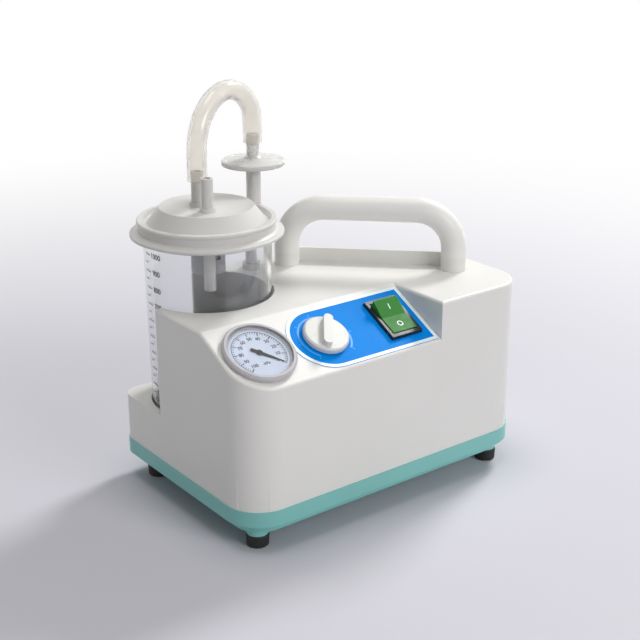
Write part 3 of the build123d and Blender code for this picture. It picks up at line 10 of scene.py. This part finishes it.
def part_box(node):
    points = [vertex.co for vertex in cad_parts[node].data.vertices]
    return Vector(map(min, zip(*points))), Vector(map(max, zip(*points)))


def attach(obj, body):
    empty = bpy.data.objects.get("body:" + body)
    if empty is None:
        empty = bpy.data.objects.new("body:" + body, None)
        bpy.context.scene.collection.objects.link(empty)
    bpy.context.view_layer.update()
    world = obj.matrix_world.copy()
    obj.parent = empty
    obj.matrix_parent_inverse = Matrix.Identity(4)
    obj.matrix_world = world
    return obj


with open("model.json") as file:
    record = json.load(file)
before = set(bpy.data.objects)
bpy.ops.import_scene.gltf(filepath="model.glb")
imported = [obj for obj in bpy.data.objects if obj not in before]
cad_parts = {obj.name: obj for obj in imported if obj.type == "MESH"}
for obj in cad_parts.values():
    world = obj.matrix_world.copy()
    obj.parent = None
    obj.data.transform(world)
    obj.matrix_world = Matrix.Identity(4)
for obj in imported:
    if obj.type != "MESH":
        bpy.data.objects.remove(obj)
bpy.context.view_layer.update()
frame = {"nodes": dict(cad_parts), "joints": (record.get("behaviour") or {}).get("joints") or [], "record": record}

nodes_by_name = frame["nodes"]
joints = {joint["name"]: joint for joint in frame["joints"]}
mm = 0.001
noise_low = 0.3
noise_high = 0.7
moulded_grain = 1800.0


# Materials
def new_material(name):
    material = bpy.data.materials.new(name)
    material.use_nodes = True
    tree = material.node_tree
    return material, tree, tree.nodes["Principled BSDF"]


def noise(tree, scale, detail=3.0, roughness=0.55):
    """Noise over the object's own coordinates, in metres, so that it stays with the piece."""
    place = tree.nodes.new("ShaderNodeTexCoord")
    texture = tree.nodes.new("ShaderNodeTexNoise")
    texture.inputs["Scale"].default_value = scale
    texture.inputs["Detail"].default_value = detail
    texture.inputs["Roughness"].default_value = roughness
    tree.links.new(place.outputs["Object"], texture.inputs["Vector"])
    return texture.outputs["Fac"]


def between(tree, factor, low, high):
    """Value from low to high over the range that the noise mostly stays in."""
    spread = tree.nodes.new("ShaderNodeMapRange")
    spread.inputs["From Min"].default_value = noise_low
    spread.inputs["From Max"].default_value = noise_high
    spread.inputs["To Min"].default_value = low
    spread.inputs["To Max"].default_value = high
    tree.links.new(factor, spread.inputs["Value"])
    return spread.outputs["Result"]


def two_tone(tree, factor, first, second):
    """Colour from the first to the second over the same range of the noise."""
    ramp = tree.nodes.new("ShaderNodeValToRGB")
    ramp.color_ramp.elements[0].position = noise_low
    ramp.color_ramp.elements[0].color = (*first, 1)
    ramp.color_ramp.elements[1].position = noise_high
    ramp.color_ramp.elements[1].color = (*second, 1)
    tree.links.new(factor, ramp.inputs["Fac"])
    return ramp.outputs["Color"]


def add_bump(tree, shader, factor, strength, distance):
    bump = tree.nodes.new("ShaderNodeBump")
    bump.inputs["Strength"].default_value = strength
    bump.inputs["Distance"].default_value = distance
    tree.links.new(factor, bump.inputs["Height"])
    tree.links.new(bump.outputs["Normal"], shader.inputs["Normal"])


def shade(colour, share):
    return tuple(min(1.0, channel * share) for channel in colour)


def moulded(name, colour, gloss=(0.32, 0.42), relief=0.12, mottle=0.035, sheen_level=0.5):
    """Moulded plastic: faint flow marks in the colour, uneven gloss and a fine grain."""
    material, tree, shader = new_material(name)
    shader.inputs["Specular IOR Level"].default_value = sheen_level
    flow = noise(tree, 16.0)
    tone = two_tone(tree, flow, shade(colour, 1 - mottle), shade(colour, 1 + mottle))
    tree.links.new(tone, shader.inputs["Base Color"])
    tree.links.new(between(tree, noise(tree, 55.0), *gloss), shader.inputs["Roughness"])
    add_bump(tree, shader, noise(tree, moulded_grain, 2.0), relief, 0.0002)
    return material


def rubber(name, colour):
    """Matt rubber with a coarse grain."""
    material, tree, shader = new_material(name)
    tone = two_tone(tree, noise(tree, 60.0), shade(colour, 0.85), shade(colour, 1.2))
    tree.links.new(tone, shader.inputs["Base Color"])
    tree.links.new(between(tree, noise(tree, 140.0), 0.62, 0.8), shader.inputs["Roughness"])
    add_bump(tree, shader, noise(tree, 2500.0, 2.0), 0.25, 0.0002)
    return material


def metal(name, colour, gloss=(0.22, 0.38)):
    """Machined or plated metal with a fine brushed grain."""
    material, tree, shader = new_material(name)
    shader.inputs["Metallic"].default_value = 1.0
    tone = two_tone(tree, noise(tree, 40.0), shade(colour, 0.92), shade(colour, 1.06))
    tree.links.new(tone, shader.inputs["Base Color"])
    tree.links.new(between(tree, noise(tree, 90.0), *gloss), shader.inputs["Roughness"])
    add_bump(tree, shader, noise(tree, 900.0, 3.0), 0.12, 0.0001)
    return material


def clear(name, colour):
    """Clear plastic, with faint waves from moulding."""
    material, tree, shader = new_material(name)
    tone = two_tone(tree, noise(tree, 10.0), shade(colour, 0.985), colour)
    tree.links.new(tone, shader.inputs["Base Color"])
    shader.inputs["Transmission Weight"].default_value = 1.0
    shader.inputs["IOR"].default_value = 1.46
    tree.links.new(between(tree, noise(tree, 30.0), 0.02, 0.06), shader.inputs["Roughness"])
    add_bump(tree, shader, noise(tree, 14.0, 1.0), 0.06, 0.0006)
    return material


def milky(name, colour, share=0.3, gloss=(0.3, 0.42), soft=0.25):
    """Silicone or milky plastic: share of the light goes through, soft of it scatters inside."""
    material, tree, shader = new_material(name)
    tone = two_tone(tree, noise(tree, 25.0), shade(colour, 0.96), shade(colour, 1.03))
    tree.links.new(tone, shader.inputs["Base Color"])
    shader.inputs["Transmission Weight"].default_value = share
    shader.inputs["IOR"].default_value = 1.41
    shader.inputs["Subsurface Weight"].default_value = soft
    shader.inputs["Subsurface Radius"].default_value = (0.004, 0.0038, 0.0034)
    shader.inputs["Subsurface Scale"].default_value = 1.0
    tree.links.new(between(tree, noise(tree, 70.0), *gloss), shader.inputs["Roughness"])
    add_bump(tree, shader, noise(tree, 500.0, 2.0), 0.05, 0.0002)
    return material


looks = {
    "case": moulded("case", (0.80, 0.795, 0.765), mottle=0.012),
    "tray": moulded("tray", (0.22, 0.56, 0.53), gloss=(0.3, 0.4)),
    "foot_rubber": rubber("foot_rubber", (0.012, 0.012, 0.013)),
    "steel": metal("steel", (0.62, 0.62, 0.63)),
    "handle": moulded("handle", (0.85, 0.84, 0.81), mottle=0.015),
    "label": moulded(
        "label", (0.0, 0.25, 0.80), gloss=(0.4, 0.5), relief=0.04, mottle=0.05, sheen_level=0.05
    ),
    "gauge_grey": moulded("gauge_grey", (0.50, 0.49, 0.51), gloss=(0.25, 0.35)),
    "gauge_lens": clear("gauge_lens", (0.97, 0.98, 1.0)),
    "dial": moulded("dial", (0.66, 0.73, 0.85), gloss=(0.4, 0.5), relief=0.02),
    "needle": moulded("needle", (0.006, 0.006, 0.007), gloss=(0.5, 0.6), sheen_level=0.1),
    "brass": metal("brass", (0.72, 0.52, 0.22)),
    "knob": moulded("knob", (0.71, 0.71, 0.68), gloss=(0.25, 0.35), mottle=0.01),
    "switch_black": moulded("switch_black", (0.012, 0.013, 0.013), gloss=(0.25, 0.35)),
    "rocker_green": milky("rocker_green", (0.045, 0.28, 0.04), share=0.15, gloss=(0.10, 0.18)),
    "jar_clear": clear("jar_clear", (0.915, 0.92, 0.935)),
    "lid": moulded("lid", (0.66, 0.65, 0.63), gloss=(0.3, 0.4), mottle=0.015),
    "seal": rubber("seal", (0.55, 0.55, 0.52)),
    "float_plastic": moulded("float_plastic", (0.62, 0.63, 0.64)),
    "cage": milky("cage", (0.50, 0.51, 0.52), share=0.15),
    "hose": milky("hose", (0.955, 0.93, 0.885), share=0.85, gloss=(0.10, 0.16), soft=0.0),
    "filter_shell": milky("filter_shell", (0.95, 0.94, 0.92), share=0.45, gloss=(0.2, 0.3), soft=0.0),
    "membrane": moulded("membrane", (0.8, 0.8, 0.8), gloss=(0.7, 0.8), relief=0.4),
    "aluminium": metal("aluminium", (0.70, 0.71, 0.72), gloss=(0.3, 0.45)),
    "lamination": metal("lamination", (0.2, 0.2, 0.21), gloss=(0.4, 0.55)),
    "pump_plastic": moulded("pump_plastic", (0.03, 0.03, 0.032)),
    "black_rubber": rubber("black_rubber", (0.015, 0.015, 0.015)),
}
for subpart in frame["record"]["subparts"]:
    node = nodes_by_name[subpart["node"]]
    material = looks[subpart["material_slot"]]
    for slot in node.material_slots:
        slot.material = material


# Pieces of the scene's own
def new_piece(name, vertices, faces, material, body):
    mesh = bpy.data.meshes.new(name)
    mesh.from_pydata([tuple(vertex) for vertex in vertices], [], faces)
    mesh.validate()
    mesh.update()
    piece = bpy.data.objects.new(name, mesh)
    bpy.context.collection.objects.link(piece)
    mesh.materials.append(material)
    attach(piece, body)
    return piece


def thick_patch(outline_pairs, place, thickness):
    """Thin closed band between two outlines, given as pairs of 2-D points, set on a surface by place."""
    vertices = []
    for inner, outer in outline_pairs:
        vertices += [place(*inner, 0), place(*outer, 0), place(*inner, thickness), place(*outer, thickness)]
    faces = []
    for index in range(len(outline_pairs) - 1):
        a = 4 * index
        b = a + 4
        faces += [(a + 2, a + 3, b + 3, b + 2), (a, b, b + 1, a + 1)]
        faces += [(a, a + 2, b + 2, b), (a + 1, b + 1, b + 3, a + 3)]
    last = 4 * (len(outline_pairs) - 1)
    if outline_pairs[0] == outline_pairs[-1]:
        return vertices, faces
    faces += [(0, 1, 3, 2), (last, last + 2, last + 3, last + 1)]
    return vertices, faces


class Marks:
    """Gathers thin printed marks into one mesh."""

    def __init__(self, place, thickness):
        self.place = place
        self.thickness = thickness
        self.vertices = []
        self.faces = []

    def band(self, pairs):
        vertices, faces = thick_patch(pairs, self.place, self.thickness)
        start = len(self.vertices)
        self.vertices += vertices
        self.faces += [tuple(start + corner for corner in face) for face in faces]

    def stroke(self, start, end, width):
        along = Vector((end[0] - start[0], end[1] - start[1]))
        side = Vector((-along.y, along.x)).normalized() * width / 2
        pieces = 4
        pairs = []
        for step in range(pieces + 1):
            middle = Vector(start) + along * step / pieces
            pairs.append((tuple(middle - side), tuple(middle + side)))
        self.band(pairs)

    def arc(self, centre, radius, width, start, end, steps=48):
        pairs = []
        for step in range(steps + 1):
            turn = radians(start + (end - start) * step / steps)
            unit = Vector((cos(turn), sin(turn)))
            middle = Vector(centre)
            inner = middle + unit * (radius - width / 2)
            outer = middle + unit * (radius + width / 2)
            pairs.append((tuple(inner), tuple(outer)))
        self.band(pairs)

    def text(self, body, centre, size):
        curve = bpy.data.curves.new("mark", "FONT")
        curve.body = body
        curve.size = size
        curve.align_x = "CENTER"
        curve.align_y = "CENTER"
        curve.resolution_u = 3
        curve.extrude = self.thickness / 2
        curve.offset = 0.025 * size
        writing = bpy.data.objects.new("mark", curve)
        mesh = bpy.data.meshes.new_from_object(writing)
        start = len(self.vertices)
        for vertex in mesh.vertices:
            x, y, z = vertex.co
            self.vertices.append(self.place(centre[0] + x, centre[1] + y, z + self.thickness / 2))
        self.faces += [tuple(start + corner for corner in face.vertices) for face in mesh.polygons]
        bpy.data.objects.remove(writing)
        bpy.data.meshes.remove(mesh)
        bpy.data.curves.remove(curve)

    def finish(self, name, material, body):
        return new_piece(name, self.vertices, self.faces, material, body)


# Panel: printed border and marks on the label, scale on the dial
panel_normal = Vector(joints["regulator_turn"]["axis"])
panel_right_dir = Vector((1, 0, 0))
panel_up_dir = panel_normal.cross(panel_right_dir)
knob_centre = Vector(joints["regulator_turn"]["pos_m"])
gauge_centre = Vector(joints["needle_turn"]["pos_m"])
rocker_axle = Vector(joints["rocker_tip"]["pos_m"])


def on_plane(origin, above):
    def place(x, y, z):
        return origin + panel_right_dir * x + panel_up_dir * y + panel_normal * (above + z)

    return place


label_low, label_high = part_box("control_label")
label_thickness = 0.5 * mm
label_radius = knob_centre.x - label_low[0]
label_end = label_high[0] - knob_centre.x
print_thickness = 0.06 * mm
border_width = 2.9 * mm

pale_print = moulded("pale_print", (0.84, 0.97, 1.0), gloss=(0.35, 0.45), relief=0.02)
dark_print = moulded("dark_print", (0.02, 0.025, 0.04), gloss=(0.4, 0.5), relief=0.02)
blue_print = moulded("blue_print", (0.05, 0.35, 0.85), gloss=(0.35, 0.45), relief=0.02)

border = Marks(on_plane(knob_centre, label_thickness), print_thickness)
inner = label_radius - border_width
pairs = []
for step in range(49):
    turn = radians(90 + 180 * step / 48)
    pairs.append(
        ((inner * cos(turn), inner * sin(turn)), (label_radius * cos(turn), label_radius * sin(turn)))
    )
pairs.append(((label_end - border_width, -inner), (label_end, -label_radius)))
pairs.append(((label_end - border_width, inner), (label_end, label_radius)))
pairs.append(pairs[0])
border.band(pairs)
border.finish("label_border", pale_print, "unit")

knob_ring_radius = 21.2 * mm
knob_ring_start = -48
knob_ring_end = 228
tick_inner = 22.6 * mm
tick_outer = 24.4 * mm
tick_count = 7
tick_spacing = 46
ring_mark = Marks(on_plane(knob_centre, label_thickness), print_thickness)
ring_mark.arc((0, 0), knob_ring_radius, 1.4 * mm, knob_ring_start, knob_ring_end)
for step in range(tick_count):
    turn = radians(knob_ring_end - tick_spacing * step)
    start = (tick_inner * cos(turn), tick_inner * sin(turn))
    end = (tick_outer * cos(turn), tick_outer * sin(turn))
    ring_mark.stroke(start, end, 0.6 * mm)
ring_mark.finish("knob_scale", blue_print, "unit")

dial_face = 0.9 * mm
dial_radius = 22.5 * mm
scale = Marks(on_plane(gauge_centre, dial_face), print_thickness)
zero_turn = -45.0
scale_sweep = 270.0
divisions = 50
long_every = 5
value_per_step = 2
line_radius = dial_radius - 1.4 * mm
number_radius = dial_radius - 8.0 * mm
for step in range(divisions + 1):
    turn = radians(zero_turn + scale_sweep * step / divisions)
    long_mark = step % long_every == 0
    mark_end = dial_radius - (5.0 if long_mark else 3.4) * mm
    width = (0.8 if long_mark else 0.4) * mm
    scale.stroke(
        (mark_end * cos(turn), mark_end * sin(turn)),
        (line_radius * cos(turn), line_radius * sin(turn)),
        width,
    )
    if long_mark:
        number_place = (number_radius * cos(turn), number_radius * sin(turn))
        scale.text(str(value_per_step * step), number_place, 4.2 * mm)
scale.arc((0, 0), line_radius, 0.4 * mm, zero_turn, zero_turn + scale_sweep, 96)
scale.text("-kPa", (0, -10.5 * mm), 3.6 * mm)
scale.finish("dial_scale", dark_print, "unit")

# Rocker: a bar on its upper half and a ring on its lower half
rocker_tilt = radians(9.0)
rocker_crown = 2.6 * mm
mark_reach = 8.5 * mm
rocker_up = panel_up_dir * cos(rocker_tilt) + panel_normal * sin(rocker_tilt)
rocker_out = panel_normal * cos(rocker_tilt) - panel_up_dir * sin(rocker_tilt)


def on_rocker(side):
    """side is 1 for the upper half of the rocker and -1 for the lower."""
    along = rocker_up * cos(rocker_tilt) + rocker_out * side * sin(rocker_tilt)
    outward = rocker_out * cos(rocker_tilt) - rocker_up * side * sin(rocker_tilt)
    rise = rocker_crown + mark_reach * tan(rocker_tilt) + 0.02 * mm
    origin = rocker_axle + rocker_up * side * mark_reach + rocker_out * rise

    def place(x, y, z):
        return origin + panel_right_dir * x + along * y + outward * z

    return place


bar_mark = Marks(on_rocker(1), print_thickness)
bar_mark.stroke((0, -2.4 * mm), (0, 2.4 * mm), 0.9 * mm)
bar_mark.finish("rocker_bar", pale_print, "rocker")
ring_sign = Marks(on_rocker(-1), print_thickness)
ring_sign.arc((0, 0), 2.2 * mm, 0.8 * mm, 0, 360)
ring_sign.finish("rocker_ring", pale_print, "rocker")

# Jar: printed scale, bent round the wall
jar_low, jar_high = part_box("collection_jar")
jar_centre = Vector(((jar_low[0] + jar_high[0]) / 2, (jar_low[1] + jar_high[1]) / 2, 0))
jar_height = jar_high[2] - jar_low[2]
jar_foot_radius = 48.9 * mm
jar_mouth_radius = 50.3 * mm
print_gap = 0.05 * mm
scale_turn = radians(166)


def on_jar(x, y, z):
    """x runs round the wall to the right as seen from outside, y is the height above the foot."""
    radius = jar_foot_radius + (jar_mouth_radius - jar_foot_radius) * y / jar_height + print_gap + z
    turn = scale_turn + x / jar_foot_radius
    return jar_centre + Vector((radius * cos(turn), radius * sin(turn), jar_low[2] + y))


zero_height = 6.0 * mm
litre_height = 136.0 * mm
number_shift = 16.0 * mm
number_size = 6.0 * mm
jar_scale = Marks(on_jar, print_thickness)
steps_per_jar = 20
millilitres_per_step = 50
for step in range(1, steps_per_jar + 1):
    height = zero_height + litre_height * step / steps_per_jar
    whole = step % 2 == 0
    length = (9.0 if whole else 5.0) * mm
    jar_scale.stroke((0, height), (length, height), 0.8 * mm)
    if whole:
        jar_scale.text(str(millilitres_per_step * step), (number_shift, height), number_size)
jar_scale.text("ml", (number_shift, zero_height + litre_height + 8.0 * mm), number_size)
jar_scale.finish("jar_scale", dark_print, "jar")

# Floor, light and camera
def seen_share(tree):
    """1 for rays from the camera, from gloss and through clear pieces, 0 for the light on the object."""
    path = tree.nodes.new("ShaderNodeLightPath")
    total = path.outputs["Is Camera Ray"]
    for name in ("Is Glossy Ray", "Is Transmission Ray"):
        larger = tree.nodes.new("ShaderNodeMath")
        larger.operation = "MAXIMUM"
        tree.links.new(total, larger.inputs[0])
        tree.links.new(path.outputs[name], larger.inputs[1])
        total = larger.outputs["Value"]
    return total


floor_size = 30.0
floor_colour = (0.62, 0.612, 0.67)
fade_start = 0.2
fade_end = 1.3
bpy.ops.mesh.primitive_plane_add(size=floor_size, location=(0, 0, 0))
floor = bpy.context.object
floor.name = "floor"
floor_material, tree, shader = new_material("floor")
tone = two_tone(tree, noise(tree, 1.2), shade(floor_colour, 0.99), floor_colour)
tree.links.new(tone, shader.inputs["Base Color"])
shader.inputs["Roughness"].default_value = 0.8
# away from the object the floor runs out into white, for the rays that are seen
place = tree.nodes.new("ShaderNodeTexCoord")
length = tree.nodes.new("ShaderNodeVectorMath")
length.operation = "LENGTH"
tree.links.new(place.outputs["Object"], length.inputs[0])
fade = tree.nodes.new("ShaderNodeMapRange")
fade.interpolation_type = "SMOOTHSTEP"
fade.inputs["From Min"].default_value = fade_start
fade.inputs["From Max"].default_value = fade_end
tree.links.new(length.outputs["Value"], fade.inputs["Value"])
share = tree.nodes.new("ShaderNodeMath")
share.operation = "MULTIPLY"
tree.links.new(fade.outputs["Result"], share.inputs[0])
tree.links.new(seen_share(tree), share.inputs[1])
white = tree.nodes.new("ShaderNodeEmission")
white.inputs["Strength"].default_value = 1.0
mix = tree.nodes.new("ShaderNodeMixShader")
tree.links.new(share.outputs["Value"], mix.inputs["Fac"])
tree.links.new(shader.outputs["BSDF"], mix.inputs[1])
tree.links.new(white.outputs["Emission"], mix.inputs[2])
tree.links.new(mix.outputs["Shader"], tree.nodes["Material Output"].inputs["Surface"])
floor.data.materials.append(floor_material)


def soft_light(name, location, size, power):
    """White disc lamp that faces the middle of the object."""
    lamp = bpy.data.lights.new(name, "AREA")
    lamp.shape = "DISK"
    lamp.size = size
    lamp.energy = power
    light = bpy.data.objects.new(name, lamp)
    light.location = location
    direction = Vector(object_middle) - Vector(location)
    light.rotation_euler = direction.to_track_quat("-Z", "Y").to_euler()
    bpy.context.collection.objects.link(light)


object_middle = (0, 0, 0.12)
soft_light("key", (2.0, 0.55, 1.9), 0.7, 46.0)
soft_light("top", (-0.2, 0.0, 2.4), 1.2, 13.0)
soft_light("front_fill", (0.4, -2.4, 1.3), 1.2, 23.5)

world = bpy.data.worlds.new("studio")
bpy.context.scene.world = world
world.use_nodes = True
tree = world.node_tree
surround = tree.nodes["Background"]
surround.inputs["Color"].default_value = (0.98, 0.965, 0.94, 1)
surround.inputs["Strength"].default_value = 0.3
seen_white = tree.nodes.new("ShaderNodeBackground")
seen_white.inputs["Color"].default_value = (1, 1, 1, 1)
seen_white.inputs["Strength"].default_value = 1.0
mix = tree.nodes.new("ShaderNodeMixShader")
tree.links.new(seen_share(tree), mix.inputs["Fac"])
tree.links.new(surround.outputs["Background"], mix.inputs[1])
tree.links.new(seen_white.outputs["Background"], mix.inputs[2])
tree.links.new(mix.outputs["Shader"], tree.nodes["World Output"].inputs["Surface"])

# the camera as solved from the photograph's perspective
camera_data = bpy.data.cameras.new("camera")
camera_data.sensor_width = 36.0
camera_data.lens = 70.6
camera = bpy.data.objects.new("camera", camera_data)
camera.location = (-0.5833, -0.7668, 0.4913)
aim = Vector((-0.0019, -0.0037, 0.1326)) - camera.location
roll = Matrix.Rotation(radians(-0.14), 4, "Z")
camera.matrix_world = (
    Matrix.Translation(camera.location) @ aim.to_track_quat("-Z", "Y").to_matrix().to_4x4() @ roll
)
bpy.context.collection.objects.link(camera)
bpy.context.scene.camera = camera
bpy.context.scene.view_settings.view_transform = "Standard"
